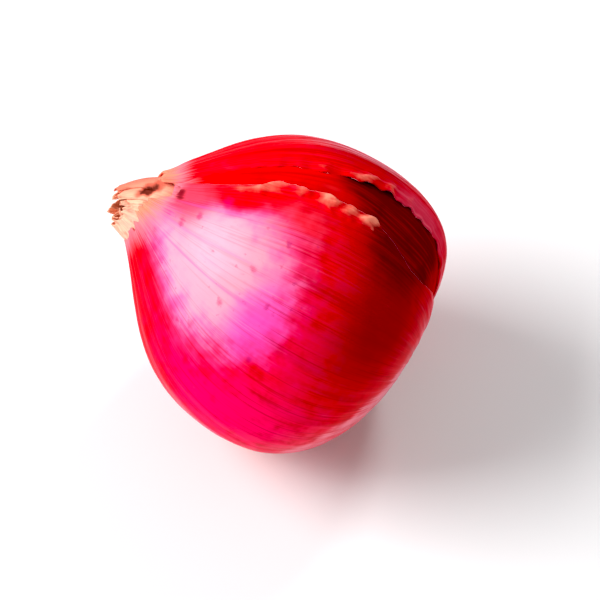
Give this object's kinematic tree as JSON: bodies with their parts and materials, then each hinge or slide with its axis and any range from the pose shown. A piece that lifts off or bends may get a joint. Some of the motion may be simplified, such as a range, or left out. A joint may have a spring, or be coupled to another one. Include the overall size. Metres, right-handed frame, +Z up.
{
  "type": "onion",
  "caption": "Small red onion lying on its side, with a split papery skin, a dried frayed neck and a tuft of dried roots.",
  "frame": {"origin": "middle of the small flat spot underneath that the onion rests on", "axes": "+Z up from the surface it rests on; the bulb's own axis lies in the XZ plane, with the neck towards -X and raised and the roots towards +X and low"},
  "size_m": [0.0399, 0.0369, 0.0359],
  "materials": {
    "bulb": "glossy deep red living scale",
    "outer_skin": "satin magenta papery skin",
    "dry_neck": "matt dried leaf bases",
    "root_tuft": "matt dried roots"
  },
  "bodies": {
    "root": {"bulb": "bulb", "outer_skin": "outer_skin", "dry_neck": "dry_neck", "root_tuft": "root_tuft"}
  },
  "joints": []
}
